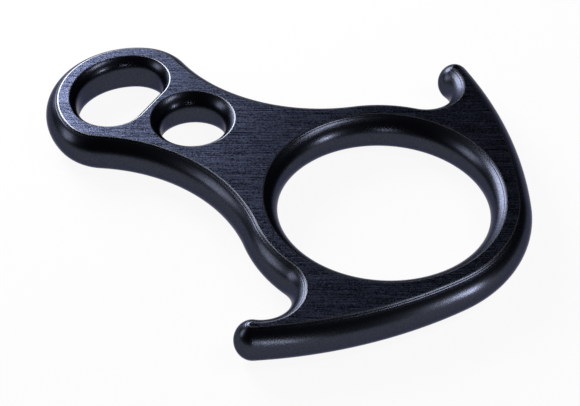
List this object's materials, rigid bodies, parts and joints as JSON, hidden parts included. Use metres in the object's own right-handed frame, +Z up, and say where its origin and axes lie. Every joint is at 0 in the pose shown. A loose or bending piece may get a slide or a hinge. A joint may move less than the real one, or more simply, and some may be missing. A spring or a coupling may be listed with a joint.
{
  "type": "rescue figure eight descender",
  "caption": "Flat aluminium figure eight descender with a large rope ring, hooked ears, a small round hole and a D-shaped carabiner hole.",
  "frame": {"origin": "middle of the bounding box's base, on the plate's lower face", "axes": "+X along the plate from the big rope ring to the small end, +Y from ear to ear, +Z up through the plate's thickness"},
  "size_m": [0.1848, 0.1586, 0.015],
  "materials": {
    "anodised_aluminium": "black anodised, satin edges and brushed flat faces"
  },
  "bodies": {
    "root": {"descender_plate": "anodised_aluminium"}
  },
  "joints": []
}
